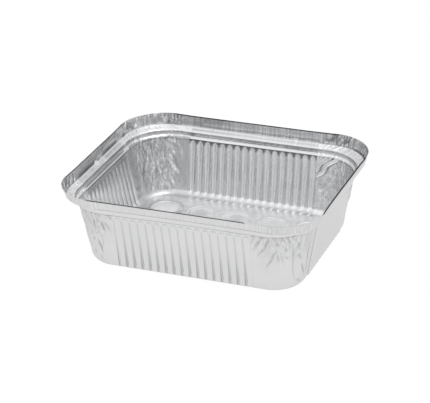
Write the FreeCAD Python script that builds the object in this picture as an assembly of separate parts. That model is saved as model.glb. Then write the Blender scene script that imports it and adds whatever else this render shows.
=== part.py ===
import FreeCAD, Part
import os
import math

V = FreeCAD.Vector

# Aluminium foil tray, drawn in one stroke from a single blank of thin foil.
# Millimetres. Origin: middle of the underside. +X long side, +Y short side, +Z up.

# ---- driving dimensions ------------------------------------------------------
LENGTH = 146.0          # over the flange, along X
WIDTH = 121.0           # over the flange, along Y
HEIGHT = 44.4           # underside to the top edge of the upright flange
FOIL = 0.08             # gauge of the foil

FLANGE_CORNER_R = 25.4  # outline radius at the top edge of the flange
BASE_CORNER_R = 16.2    # corner radius where the walls meet the floor

# section of the rim and wall, from the top edge down: (inset from the outline, height)
FLANGE_FOOT = (1.9, 38.2)    # the upright flange leans out a little
LEDGE_INNER = (5.2, 36.3)    # lid ledge, falling gently inward
STEP_FOOT = (5.8, 33.7)      # short steep step below the ledge
SHOULDER = (7.0, 32.9)       # narrow shoulder at the top of the wall
BASE = (13.2, 0.0)           # the wall's plane carried down to the underside

BASE_FILLET = 4.0
FLANGE_FOOT_R = 0.9
LEDGE_R = 0.7
STEP_R = 0.6
SHOULDER_R = 0.7

# pleated panels pressed outward in the straight part of each wall
PITCH = 4.5
LONG_PANELS = 17
SHORT_PANELS = 12
PANEL_TOP_CHORD = 4.3    # width of a panel at its arched top
PANEL_TOP_RISE = 0.55    # how far it stands out there
PANEL_FOOT_CHORD = 2.95  # width near the floor, where the grooves have opened out
PANEL_FOOT_RISE = 0.70
PANEL_ARCH_Z = 32.3      # height of the top of the arch
PANEL_FOOT_R = 4.2       # bend at the foot of a panel
PANEL_FOOT_Z = 0.12      # a panel's lowest line stays above the resting face

# ring beads pressed up in the floor
RING_X = [-43.0, -21.5, 0.0, 21.5, 43.0]
RING_Y = [-26.5, 26.5]
RING_R = 8.6             # middle of the bead
BEAD_R = 1.1             # radius of the bead's section, on the underside
BEAD_RISE = 0.45         # how far the bead stands up

HX = LENGTH / 2.0
HY = WIDTH / 2.0
SLOPE = (BASE[0] - SHOULDER[0]) / (SHOULDER[1] - BASE[1])   # wall taper, mm per mm
TILT = math.atan(SLOPE)                                     # from upright

# corner radii: the wall, shoulder, step and inner edge of the ledge turn about one
# upright axis; the flange turns about another, further out, so the ledge is wider
# at the corners than along the sides
WALL_AXIS_INSET = BASE[0] + BASE_CORNER_R
FLANGE_AXIS_INSET = FLANGE_CORNER_R


def offset_profile(points, t):
    """The section moved inward and up by the foil gauge, as a mitred line."""
    out = []
    n = len(points)
    lines = []
    for i in range(n - 1):
        (a0, z0), (a1, z1) = points[i], points[i + 1]
        dx, dz = a1 - a0, z1 - z0
        length = math.hypot(dx, dz)
        nx, nz = -dz / length, dx / length       # towards the inside of the tray
        lines.append((a0 + nx * t, z0 + nz * t, dx, dz))
    for i in range(n):
        if i == 0:
            x, z, dx, dz = lines[0]
            k = (points[0][1] - z) / dz
            out.append((x + k * dx, points[0][1]))
        elif i == n - 1:
            x, z, dx, dz = lines[-1]
            k = (points[-1][1] + t - z) / dz     # ends on the top face of the floor
            out.append((x + k * dx, points[-1][1] + t))
        else:
            x1, z1, a, b = lines[i - 1]
            x2, z2, c, d = lines[i]
            det = a * d - b * c
            k = ((x2 - x1) * d - (z2 - z1) * c) / det
            out.append((x1 + k * a, z1 + k * b))
    return out


def outline(hx, hy, r, z):
    """Closed rounded rectangle, always started at the same point."""
    q = r * math.sqrt(0.5)
    cx, cy = hx - r, hy - r
    pts = [
        (V(cx, -hy, z), V(cx + q, -cy - q, z), V(hx, -cy, z), V(hx, cy, z)),
        (V(hx, cy, z), V(cx + q, cy + q, z), V(cx, hy, z), V(-cx, hy, z)),
        (V(-cx, hy, z), V(-cx - q, cy + q, z), V(-hx, cy, z), V(-hx, -cy, z)),
        (V(-hx, -cy, z), V(-cx - q, -cy - q, z), V(-cx, -hy, z), V(cx, -hy, z)),
    ]
    edges = []
    for a, m, b, c in pts:
        edges.append(Part.Arc(a, m, b).toShape())
        edges.append(Part.LineSegment(b, c).toShape())
    return Part.Wire(edges)


def bowl(profile, base_points, radii, top_extra):
    """Full solid under one side of the foil, with its bends rounded.

    profile: (inset, z) from the top edge down, for this side of the foil.
    base_points: the same for the underside, which set the corner axes.
    radii: bend radius at each point after the first.
    """
    sections = []
    for (inset, z), (base_inset, _) in zip(profile, base_points):
        axis = FLANGE_AXIS_INSET if base_inset <= FLANGE_FOOT[0] + 1e-6 else WALL_AXIS_INSET
        sections.append((HX - inset, HY - inset, axis - inset, z))
    if top_extra > 0:
        (i0, z0), (i1, z1) = profile[0], profile[1]
        k = top_extra / (z0 - z1)
        inset = i0 + (i0 - i1) * k
        sections[0] = (HX - inset, HY - inset, FLANGE_AXIS_INSET - inset, z0 + top_extra)
    wires = [outline(*s) for s in reversed(sections)]
    solid = Part.makeLoft(wires, True, True)
    if solid.Volume < 0:
        solid.reverse()
    for (inset, z), radius in reversed(list(zip(profile[1:], radii))):
        ring = [e for e in solid.Edges
                if all(abs(v.Z - z) < 1e-5 for v in e.Vertexes)
                and abs(e.CenterOfMass.z - z) < 1e-5]
        solid = solid.makeFillet(radius, ring)
    return solid


def panel(half_width, t):
    """One pleated panel on the wall that faces +Y, as a full solid, at X = 0.

    A cone lying in the wall with a round end at the top and an elbow at the foot,
    of which only the outer part shows. t moves it inward by the foil gauge.
    """
    def radius(chord, rise):
        return ((chord / 2.0) ** 2 + rise ** 2) / (2.0 * rise)

    r_top = radius(PANEL_TOP_CHORD, PANEL_TOP_RISE)
    r_foot = radius(PANEL_FOOT_CHORD, PANEL_FOOT_RISE)
    y0 = half_width - BASE[0]
    out = V(0, math.cos(TILT), -math.sin(TILT))     # outward normal of the wall
    up = V(0, math.sin(TILT), math.cos(TILT))       # up along the wall
    foot = V(0, y0, 0)
    # middle of the round end
    z_top = (PANEL_ARCH_Z - PANEL_TOP_CHORD / 2.0) / math.cos(TILT)
    top = foot + up * z_top + out * (PANEL_TOP_RISE - r_top)
    # the elbow's own axis is found so that the bend meets both the panel and its lowest line
    rho = PANEL_FOOT_R - r_foot
    cz = PANEL_FOOT_Z + PANEL_FOOT_R
    lean = TILT
    for _ in range(30):
        d = V(0, math.sin(lean), math.cos(lean))
        n = V(0, math.cos(lean), -math.sin(lean))
        # bend centre: the foot circle's middle lies PANEL_FOOT_RISE - r_foot off the wall
        # centre = (cy, cz); middle = centre + n * rho
        mz = cz + n.z * rho
        # wall offset line through the middle
        s = PANEL_FOOT_RISE - r_foot
        my = y0 + SLOPE * mz + s / math.cos(TILT)
        mid = V(0, my, mz)
        ax = top.sub(mid)
        lean = math.atan2(ax.y, ax.z)
    d = V(0, math.sin(lean), math.cos(lean))
    n = V(0, math.cos(lean), -math.sin(lean))
    centre = mid - n * rho
    length = top.sub(mid).Length
    r1, r2 = r_foot - t, r_top - t
    # section of the cone and its round end, in the plane X = 0, turned about the axis
    p0 = mid
    p1 = mid + n * r1
    p2 = top + n * r2
    pm = top + (n + d) * (r2 * math.sqrt(0.5))
    p3 = top + d * r2
    face = Part.Face(Part.Wire([
        Part.LineSegment(p0, p1).toShape(),
        Part.LineSegment(p1, p2).toShape(),
        Part.Arc(p2, pm, p3).toShape(),
        Part.LineSegment(p3, p0).toShape(),
    ]))
    cone = face.revolve(mid, d, 360)
    circle = Part.Face(Part.Wire([Part.Circle(mid, d, r1).toShape()]))
    elbow = circle.revolve(centre, V(1, 0, 0), -(90 - math.degrees(lean)))
    if elbow.Volume < 0:
        elbow.reverse()
    if cone.Volume < 0:
        cone.reverse()
    return cone.fuse(elbow)


def panels(t):
    """All panels of one side of the foil, in two sets that don't touch each other."""
    sets = [[], []]
    long_one = panel(HY, t)
    short_one = panel(HX, t)
    for k in range(LONG_PANELS):
        x = (k - (LONG_PANELS - 1) / 2.0) * PITCH
        for turn in (0, 180):
            p = long_one.copy()
            p.translate(V(x, 0, 0))
            p.rotate(V(0, 0, 0), V(0, 0, 1), turn)
            sets[k % 2].append(p)
    for k in range(SHORT_PANELS):
        x = (k - (SHORT_PANELS - 1) / 2.0) * PITCH
        for turn in (90, 270):
            p = short_one.copy()
            p.translate(V(x, 0, 0))
            p.rotate(V(0, 0, 0), V(0, 0, 1), turn)
            sets[k % 2].append(p)
    return sets


def beads(t):
    tori = []
    for y in RING_Y:
        for x in RING_X:
            centre = V(x, y, BEAD_RISE - BEAD_R)
            tori.append(Part.makeTorus(RING_R, BEAD_R + t, centre, V(0, 0, 1)))
    return tori


under = [(0.0, HEIGHT), FLANGE_FOOT, LEDGE_INNER, STEP_FOOT, SHOULDER, BASE]
over = offset_profile(under, FOIL)
bends = [FLANGE_FOOT_R, LEDGE_R, STEP_R, SHOULDER_R, BASE_FILLET]
bends_over = [FLANGE_FOOT_R - FOIL, LEDGE_R + FOIL, STEP_R - FOIL,
              SHOULDER_R + FOIL, BASE_FILLET - FOIL]

outer = bowl(under, under, bends, 0.0)
for batch in panels(0.0):
    outer = outer.fuse(batch)
outer = outer.cut(beads(0.0))

inner = bowl(over, under, bends_over, 2.0)
for batch in panels(FOIL):
    inner = inner.fuse(batch)
inner = inner.cut(beads(FOIL))

tray = outer.cut(inner)
if len(tray.Solids) == 1:
    tray = tray.Solids[0]

os.makedirs("parts", exist_ok=True)
tray.exportStep("parts/foil_tray.step")

box = tray.BoundBox
print("solids", len(tray.Solids), "valid", tray.isValid(), "closed",
      tray.Solids[0].Shells[0].isClosed(), "faces", len(tray.Faces))
print("box", [round(v, 3) for v in (box.XMin, box.YMin, box.ZMin, box.XMax, box.YMax, box.ZMax)])
print("volume mm3", round(tray.Volume, 1), "mass g at 2.7", round(tray.Volume * 2.7e-3, 2))
print("shells", len(tray.Solids[0].Shells))
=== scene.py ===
import bpy
import math
import numpy as np
from mathutils import Vector, Matrix, noise
from mathutils.geometry import delaunay_2d_cdt


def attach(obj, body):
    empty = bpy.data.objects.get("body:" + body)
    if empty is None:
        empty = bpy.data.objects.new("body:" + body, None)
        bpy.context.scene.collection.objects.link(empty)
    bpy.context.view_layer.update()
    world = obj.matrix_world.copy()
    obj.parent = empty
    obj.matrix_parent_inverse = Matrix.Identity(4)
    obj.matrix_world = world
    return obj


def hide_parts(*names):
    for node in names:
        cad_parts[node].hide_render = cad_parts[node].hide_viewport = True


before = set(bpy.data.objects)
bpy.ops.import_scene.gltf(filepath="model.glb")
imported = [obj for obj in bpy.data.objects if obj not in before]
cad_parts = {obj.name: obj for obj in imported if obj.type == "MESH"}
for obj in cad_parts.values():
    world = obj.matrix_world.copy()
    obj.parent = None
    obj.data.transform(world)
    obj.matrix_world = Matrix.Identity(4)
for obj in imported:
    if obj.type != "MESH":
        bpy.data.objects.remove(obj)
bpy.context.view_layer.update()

MM = 0.001

# ------------------------------------------------------------------ dimensions
# millimetres, as in the construction; each is met by the mesh below
HX, HY, HEIGHT = 73.0, 60.5, 44.4
FOIL = 0.08
FLANGE_FOOT, LEDGE_INNER = (1.9, 38.2), (5.2, 36.3)
STEP_FOOT, SHOULDER, BASE = (5.8, 33.7), (7.0, 32.9), (13.2, 0.0)
AXIS_FLANGE, AXIS_WALL = 25.4, 29.4
PITCH = 4.5
CHORD_TOP, CHORD_FOOT = 4.3, 2.95
RISE_TOP, RISE_FOOT = 0.55, 0.70
ARCH_Z = 32.3
ZONE_LONG, ZONE_SHORT = 17 * PITCH / 2, 12 * PITCH / 2
TILT = math.atan((BASE[0] - SHOULDER[0]) / (SHOULDER[1] - BASE[1]))

# ------------------------------------------------------------------ profile
# rows run from the top edge of the flange down to the edge of the floor
def arc_rows(prev, corner, nxt, radius, n, inward):
    """Points of the round bend at corner, evenly spaced in angle."""
    a = np.array(prev, float) - corner
    b = np.array(nxt, float) - corner
    a /= np.linalg.norm(a)
    b /= np.linalg.norm(b)
    half = math.acos(max(-1, min(1, float(a @ b)))) / 2
    bis = (a + b) / np.linalg.norm(a + b)
    centre = np.array(corner) + bis * radius / math.sin(half)
    t = radius / math.tan(half)
    p0 = np.array(corner) + a * t
    p1 = np.array(corner) + b * t
    a0 = math.atan2(p0[1] - centre[1], p0[0] - centre[0])
    a1 = math.atan2(p1[1] - centre[1], p1[0] - centre[0])
    while a1 - a0 > math.pi:
        a1 -= 2 * math.pi
    while a1 - a0 < -math.pi:
        a1 += 2 * math.pi
    out = []
    for k in range(n):
        ang = a0 + (a1 - a0) * k / (n - 1)
        out.append((centre[0] + radius * math.cos(ang), centre[1] + radius * math.sin(ang)))
    return out


top = (0.0, HEIGHT)
floor_pt = (40.0, 0.0)
p1 = arc_rows(top, FLANGE_FOOT, LEDGE_INNER, 0.9, 4, True)
p2 = arc_rows(FLANGE_FOOT, LEDGE_INNER, STEP_FOOT, 0.7, 4, True)
p3 = arc_rows(LEDGE_INNER, STEP_FOOT, SHOULDER, 0.6, 3, True)
p4 = arc_rows(STEP_FOOT, SHOULDER, BASE, 0.7, 4, True)
p5 = arc_rows(SHOULDER, BASE, floor_pt, 4.0, 8, True)


def between(a, b, n):
    return [(a[0] + (b[0] - a[0]) * k / (n + 1), a[1] + (b[1] - a[1]) * k / (n + 1)) for k in range(1, n + 1)]


rows = [top]
for z in (44.15, 43.85, 43.5, 42.6, 41.7, 40.8, 39.9, 39.2):
    rows.append((1.9 * (HEIGHT - z) / (HEIGHT - 38.2), z))
rows += p1 + between(p1[-1], p2[0], 5) + p2 + between(p2[-1], p3[0], 2) + p3 + p4
R_WALL = len(rows) - 1                    # last row of the rim: top of the plain wall
wall_z = []
z = p4[-1][1]
while z > 29.3:
    z -= 0.45
    wall_z.append(z)
n_low = 29
z_end = p5[0][1]
z_start = wall_z[-1]
for k in range(1, n_low):
    wall_z.append(z_start + (z_end - z_start) * k / n_low)
N_ARCH = len(wall_z) - (n_low - 1)
slope = (BASE[0] - SHOULDER[0]) / (SHOULDER[1] - BASE[1])
for z in wall_z:
    rows.append((BASE[0] - slope * z, z))
R_FIL = len(rows)                         # first row of the bend at the floor
rows += p5
NR = len(rows)

prof = np.array(rows)
# outward normal of the section at each row
tang = np.zeros_like(prof)
tang[1:-1] = prof[2:] - prof[:-2]
tang[0] = prof[1] - prof[0]
tang[-1] = (1.0, 0.0)
tang /= np.linalg.norm(tang, axis=1)[:, None]
# walking down and inward: outward (from the food) is right of travel
nrm_a = -(-tang[:, 1])                    # along the inset direction
nrm_out = -tang[:, 1]                     # horizontal outward part
nrm_z = -tang[:, 0]
inset = prof[:, 0]
zz = prof[:, 1]
axis_in = np.where(inset <= 1.9, AXIS_FLANGE,
                   np.where(inset >= 5.2, AXIS_WALL,
                            AXIS_FLANGE + (AXIS_WALL - AXIS_FLANGE) * (inset - 1.9) / 3.3))

# rows used by the coarser pleated zones
rib_rows = list(range(0, R_WALL + 1)) + list(range(R_WALL + 1, R_WALL + 1 + N_ARCH))
k = R_WALL + N_ARCH
while k + 7 < R_FIL - 2:
    k += 7
    rib_rows.append(k)
rib_rows += list(range(R_FIL, NR))
rib_rows = sorted(set(rib_rows))

# ------------------------------------------------------------------ columns
# each column: kind 'side' (side index, u) or 'arc' (corner index, phi) or 'strip'
# sides: 0 front (-Y), 1 right (+X), 2 back (+Y), 3 left (-X); corner k lies after side k
half_chord = CHORD_TOP / 2
fractions = (-0.97, -0.78, -0.45, 0.0, 0.45, 0.78, 0.97)
ARC_N, STRIP_L, STRIP_S = 70, 11, 8
cols = []


def add_side(side, n):
    zone = n * PITCH / 2
    for i in range(n):
        c = -zone + PITCH * (i + 0.5)
        cols.append(("side", side, c - PITCH / 2, i, -1.0))
        for f in fractions:
            cols.append(("side", side, c + f * half_chord, i, f))


corner_ranges = []
for side in range(4):
    n = 17 if side % 2 == 0 else 12
    add_side(side, n)
    start = len(cols)
    first = STRIP_L if side % 2 == 0 else STRIP_S
    last = STRIP_S if side % 2 == 0 else STRIP_L
    for i in range(first):
        cols.append(("strip_a", side, i / first, 0, 0))
    for i in range(ARC_N):
        cols.append(("arc", side, i / ARC_N * math.pi / 2, 0, 0))
    for i in range(last):
        cols.append(("strip_b", side, i / last, 0, 0))
    corner_ranges.append((start, len(cols)))
NC = len(cols)

X = np.zeros((NC, NR))
Y = np.zeros((NC, NR))
NX = np.zeros((NC, NR))
NY = np.zeros((NC, NR))
S = np.zeros((NC, NR))          # distance along the wall from the corner's middle, mm
CORNER = np.full(NC, -1)        # corner index of a column, or -1
U = np.zeros(NC)                # place along a side
SIDE = np.zeros(NC, int)
hx = HX - inset
hy = HY - inset
rr = axis_in - inset
cx = HX - axis_in
cy = HY - axis_in


def side_point(side, u, h_along, h_out):
    if side == 0:
        return u, -h_out, 0.0, -1.0
    if side == 1:
        return h_out, u, 1.0, 0.0
    if side == 2:
        return -u, h_out, 0.0, 1.0
    return -h_out, -u, -1.0, 0.0


for j, (kind, side, val, i, f) in enumerate(cols):
    long_side = side % 2 == 0
    zone = ZONE_LONG if long_side else ZONE_SHORT
    zone_next = ZONE_SHORT if long_side else ZONE_LONG
    SIDE[j] = side
    out_half = hy if long_side else hx
    out_half_next = hx if long_side else hy
    c_here = cx if long_side else cy        # where the straight ends on this side
    c_next = cy if long_side else cx
    if kind == "side":
        u = np.full(NR, val)
        x, y, nx, ny = side_point(side, u, None, out_half)
        X[j], Y[j], NX[j], NY[j] = x, y, nx, ny
        U[j] = val
        S[j] = 99.0
    elif kind == "strip_a":
        u = zone + (c_here - zone) * val
        x, y, nx, ny = side_point(side, u, None, out_half)
        X[j], Y[j], NX[j], NY[j] = x, y, nx, ny
        S[j] = -(math.pi / 4) * 20.0 - (1 - val) * (43.6 - 38.25 if long_side else 31.1 - 27.0)
        CORNER[j] = side
        U[j] = zone + 5 * val
    elif kind == "strip_b":
        u = -c_next + (c_next - zone_next) * val
        x, y, nx, ny = side_point((side + 1) % 4, u, None, out_half_next)
        X[j], Y[j], NX[j], NY[j] = x, y, nx, ny
        S[j] = (math.pi / 4) * 20.0 + val * (31.1 - 27.0 if long_side else 43.6 - 38.25)
        CORNER[j] = side
        U[j] = -zone_next - 5 * (1 - val)
    else:
        sx = 1 if side in (0, 1) else -1
        sy = -1 if side in (0, 3) else 1
        a0 = -math.pi / 2 + side * math.pi / 2
        a = a0 + val
        X[j] = sx * cx + rr * math.cos(a)
        Y[j] = sy * cy + rr * math.sin(a)
        NX[j], NY[j] = math.cos(a), math.sin(a)
        S[j] = (val - math.pi / 4) * 20.0
        CORNER[j] = side

Z = np.tile(zz, (NC, 1))
N3 = np.zeros((NC, NR, 3))
N3[..., 0] = NX * nrm_out
N3[..., 1] = NY * nrm_out
N3[..., 2] = nrm_z
P3 = np.stack([X, Y, Z], axis=-1)


# ------------------------------------------------------------------ noise
def gradient_table(seed):
    a = np.random.RandomState(seed).uniform(0, 2 * math.pi, (128, 128))
    return np.cos(a), np.sin(a)


TABLES = {}


def gnoise(x, y, seed):
    """Smooth noise over the plane, about -0.7 to 0.7, cell size 1."""
    if seed not in TABLES:
        TABLES[seed] = gradient_table(seed)
    gx, gy = TABLES[seed]
    x, y = np.broadcast_arrays(np.asarray(x, float), np.asarray(y, float))
    x0, y0 = np.floor(x).astype(int), np.floor(y).astype(int)
    fx, fy = x - x0, y - y0
    ux, uy = fx ** 3 * (fx * (fx * 6 - 15) + 10), fy ** 3 * (fy * (fy * 6 - 15) + 10)

    def corner(i, j):
        a, b = (x0 + i) % 128, (y0 + j) % 128
        return gx[a, b] * (fx - i) + gy[a, b] * (fy - j)

    low = corner(0, 0) * (1 - ux) + corner(1, 0) * ux
    high = corner(0, 1) * (1 - ux) + corner(1, 1) * ux
    return low * (1 - uy) + high * uy


def ridged(x, y, seed):
    """Sharp creases between rounded bumps, about -1 to 1."""
    return 1.0 - 4.0 * np.abs(gnoise(x, y, seed))


def smooth(a, b, x):
    t = np.clip((x - a) / (b - a), 0, 1)
    return t * t * (3 - 2 * t)


def crease(S, z, points, width, depth):
    """A crease along a line of (S, z) points, tapering to its ends."""
    best = np.full(np.broadcast(S, z).shape, 1e9)
    taper = np.zeros_like(best)
    pts_ = np.array(points, float)
    seg = np.hypot(*(pts_[1:] - pts_[:-1]).T)
    run = np.concatenate([[0], np.cumsum(seg)]) / seg.sum()
    for (ax, ay), (bx, by), r0, r1 in zip(pts_[:-1], pts_[1:], run[:-1], run[1:]):
        dx, dy = bx - ax, by - ay
        t = np.clip(((S - ax) * dx + (z - ay) * dy) / (dx * dx + dy * dy), 0, 1)
        d = np.hypot(S - ax - t * dx, z - ay - t * dy)
        near = d < best
        best = np.where(near, d, best)
        taper = np.where(near, r0 + (r1 - r0) * t, taper)
    fade = np.clip(np.minimum(taper, 1 - taper) / 0.25, 0.12, 1) ** 0.7
    return depth * fade * np.exp(-(best / width) ** 1.6)


# creases of the four corners: ((S, z) points, width, depth outward), mm
CREASES = {
    0: [([(-15.5, 36), (-18, 34), (-21, 31.5)], 0.7, -0.5), ([(-13, 35.5), (-15, 32), (-18, 28), (-19.5, 27)], 0.7, -0.45),
        ([(-11.5, 34), (-12, 30), (-14, 26), (-18, 21)], 0.7, -0.45), ([(-9.7, 34.8), (-9.8, 32.6)], 0.5, -0.45),
        ([(-8.5, 34.5), (-8.4, 30.2)], 0.5, -0.45), ([(-5.5, 34), (-5.6, 30.5)], 0.55, -0.4), ([(-4.5, 32), (-4.0, 29.8)], 0.5, -0.4),
        ([(-3, 34.2), (-2.5, 32), (-1.4, 29.4)], 0.55, -0.45), ([(-7.6, 29.6), (-7.6, 27.8)], 0.6, -0.4),
        ([(-8.2, 24.6), (-8.9, 23.4), (-9.5, 21.5), (-11, 18.5), (-13.6, 15.2)], 0.6, -0.65),
        ([(-7.6, 23), (-7.2, 20.5), (-6.2, 18.4)], 0.6, -0.4), ([(-3.2, 26.4), (-2.8, 24)], 0.6, -0.5), ([(-3.4, 21), (-1.6, 19.9)], 0.6, -0.45),
        ([(0.3, 27), (1.2, 23.5), (1.0, 20), (1.5, 14), (2.5, 9), (4.2, 4.5)], 0.5, -0.4), ([(3.8, 28), (4.0, 25.3)], 0.6, -0.5),
        ([(4.6, 21), (6.6, 17.8)], 0.6, -0.45), ([(7.6, 15), (9.6, 11), (13, 6)], 0.7, -0.5), ([(5, 6.4), (7, 4.4), (10, 3.2)], 0.7, -0.4),
        ([(-16, 30), (-20, 24.5)], 0.9, -0.3), ([(-5.4, 22.5), (-4.6, 18.5)], 0.6, -0.3), ([(3.4, 35), (4.6, 32.4)], 0.6, -0.4),
        ([(-18.8, 33.2), (-21, 27.6)], 0.8, -0.25), ([(12.7, 27), (13.3, 18), (14.4, 7)], 0.75, -0.62)],
    1: [([(12.2, 32.3), (14.4, 29.2), (15.4, 26.2), (19.8, 22.2)], 0.75, 0.6), ([(15, 32.2), (17.5, 29), (21.3, 25.6)], 0.7, 0.55),
        ([(17.6, 32.2), (21.2, 28.2)], 0.7, 0.5), ([(11.2, 29.6), (13.2, 26.4), (15.5, 23.5), (17.4, 20.8)], 0.8, 0.45),
        ([(12.2, 24.4), (11.6, 21.8)], 0.5, 0.5), ([(10.8, 20.2), (12.6, 17.8)], 0.5, 0.5), ([(13.8, 13), (15.6, 9.6), (16.6, 5)], 1.0, 0.45),
        ([(16.5, 21), (18.6, 17), (19.2, 12.5)], 0.9, 0.35), ([(4.2, 31), (3.4, 26.5), (4.0, 22.5)], 0.5, 0.4), ([(7.6, 29.5), (7.4, 24.5), (8.0, 21)], 0.5, 0.4),
        ([(5.4, 30), (5.3, 25.5)], 0.5, 0.4), ([(9.3, 29), (9.1, 25)], 0.5, 0.35), ([(19.6, 32), (21.8, 29.8)], 0.6, 0.4),
        ([(-12, 33), (-15, 29), (-19, 25)], 0.7, 0.45), ([(-9, 28), (-10.5, 22), (-14, 17)], 0.7, 0.45), ([(1, 24), (-1, 18), (-3, 11)], 0.7, 0.4)],
    2: [([(-9.8, 28.8), (-12, 26), (-14.8, 24.2)], 0.6, 0.45), ([(-10.6, 25.4), (-12.6, 23.8)], 0.5, 0.55),
        ([(-8.8, 24.2), (-10.4, 21.8), (-12.2, 19)], 0.6, 0.6), ([(-8.5, 21), (-10.5, 18.2), (-12.6, 15.8), (-15.2, 13.2)], 0.65, 0.7),
        ([(-11.2, 17), (-12.4, 14.4), (-13.4, 12.8)], 0.6, 0.5), ([(-9.4, 10.4), (-10.6, 8.4), (-12.2, 6)], 1.0, 0.65), ([(-11.3, 12.4), (-11.8, 10.2)], 0.5, 0.4),
        ([(-5.6, 9.8), (-7.2, 6.6), (-8.6, 4.4), (-10, 3.2)], 0.7, 0.6), ([(-9.8, 13.6), (-9.2, 10.6)], 0.6, 0.4),
        ([(-1.0, 20.6), (-2.2, 18), (-3.2, 14.6), (-4.2, 11.6)], 0.6, 0.6), ([(0.6, 19.6), (0.2, 17.4), (1.4, 14.2)], 0.6, 0.5),
        ([(1.8, 18.8), (2.1, 16), (1.6, 14)], 0.5, 0.5), ([(3.2, 23.8), (4.0, 21), (4.6, 18.6)], 0.6, 0.5), ([(5.0, 19.4), (5.4, 17.4)], 0.6, 0.5),
        ([(6.4, 20.6), (8.6, 16), (10.2, 11), (11.2, 6)], 0.7, -0.45), ([(9.7, 28), (10.2, 25), (11.2, 22)], 0.7, 0.45), ([(11.4, 19.4), (11.5, 17.8)], 0.9, 0.45),
        ([(-3.2, 29), (-2.4, 27.4)], 0.55, 0.45), ([(-3.6, 24.4), (-4.2, 21.6), (-4.2, 18.6)], 0.6, 0.4), ([(2.6, 26), (2.8, 25)], 0.6, 0.5),
        ([(6.5, 13.6), (5.8, 12)], 0.8, 0.4), ([(-6, 29), (-5.8, 22), (-7.4, 15)], 0.6, 0.3), ([(-12.2, 32.8), (-12.6, 29.4)], 0.6, 0.45), ([(-10.9, 32.4), (-11.1, 30)], 0.45, 0.4),
        ([(-9.2, 32.6), (-9.4, 30)], 0.45, 0.4), ([(-14.5, 29.5), (-16.8, 25.5), (-17.5, 20)], 0.9, 0.25), ([(-4.6, 9), (-3.4, 4)], 0.7, 0.35), ([(1.5, 9), (3.2, 4.6), (4.0, 2)], 0.7, 0.3),
        ([(12.8, 30.6), (12.0, 32)], 1.0, -0.4)],
    3: [([(15.6, 36), (16.6, 34.4), (18, 32.4), (20.8, 29.6)], 0.65, -0.5), ([(13.4, 28.2), (13.8, 26.4), (14.8, 24.4), (15.3, 22)], 0.6, -0.65),
        ([(14.8, 28.4), (16.6, 27), (17.6, 24.6), (18.8, 22.8)], 0.7, -0.4), ([(9.6, 29), (9.1, 27), (9.0, 24), (8.7, 20.6)], 0.65, -0.45),
        ([(5.6, 15), (7.4, 16.8)], 0.8, -0.45), ([(9.8, 16.6), (10.0, 13.4), (11.0, 10.8), (11.6, 8)], 0.7, -0.6), ([(4.2, 8.4), (5.8, 6.6)], 0.9, -0.45),
        ([(18, 35.5), (20.4, 33), (22.4, 31)], 0.6, -0.4), ([(10.8, 31), (12.4, 27)], 0.6, -0.3), ([(7, 22), (5.2, 18.6)], 0.6, -0.3), ([(12.4, 22), (9.4, 20)], 0.5, -0.3),
        ([(13, 17), (12.4, 12)], 0.7, -0.25), ([(-16, 14), (-19.6, 12)], 0.8, -0.4), ([(-15, 6), (-16.4, 5)], 0.9, -0.4), ([(-8, 30), (-12, 27)], 0.7, -0.35),
        ([(9.4, 6.4), (10.4, 3.6)], 0.8, -0.35), ([(14.4, 34.6), (13.2, 31)], 0.6, -0.3)],
}
# how strongly the foil is gathered along each corner: (S, strength)
GATHER_WALL = {0: ([-22, -19, -12, 4, 10, 18], [0, 0.5, 1, 1, 0.6, 0]), 1: ([-20, -10, 3, 16, 21.5, 22.5], [0, 0.7, 1, 0.9, 0.6, 0]),
               2: ([-20, -15, -10, 5, 10, 12.5], [0, 0.5, 1, 1, 0.7, 0]), 3: ([-20, -12, 0, 12, 17, 22], [0, 0.8, 1, 1, 0.55, 0])}
GATHER_RIM = {0: ([-20, -15, -12, -8, 6, 12], [0, 0.3, 1, 0.7, 0.6, 0]), 1: ([-14, -6, 6, 9, 17, 21, 23], [0, 0.5, 0.5, 1.1, 1.1, 0.5, 0]),
              2: ([-19, -16.5, -10.5, -8, 5, 8, 12, 15], [0, 1.1, 1.1, 0.5, 0.35, 0.9, 0.9, 0]), 3: ([-24, -20, -9, -4, 10, 18], [0, 1.0, 1.0, 0.45, 0.4, 0])}

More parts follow.
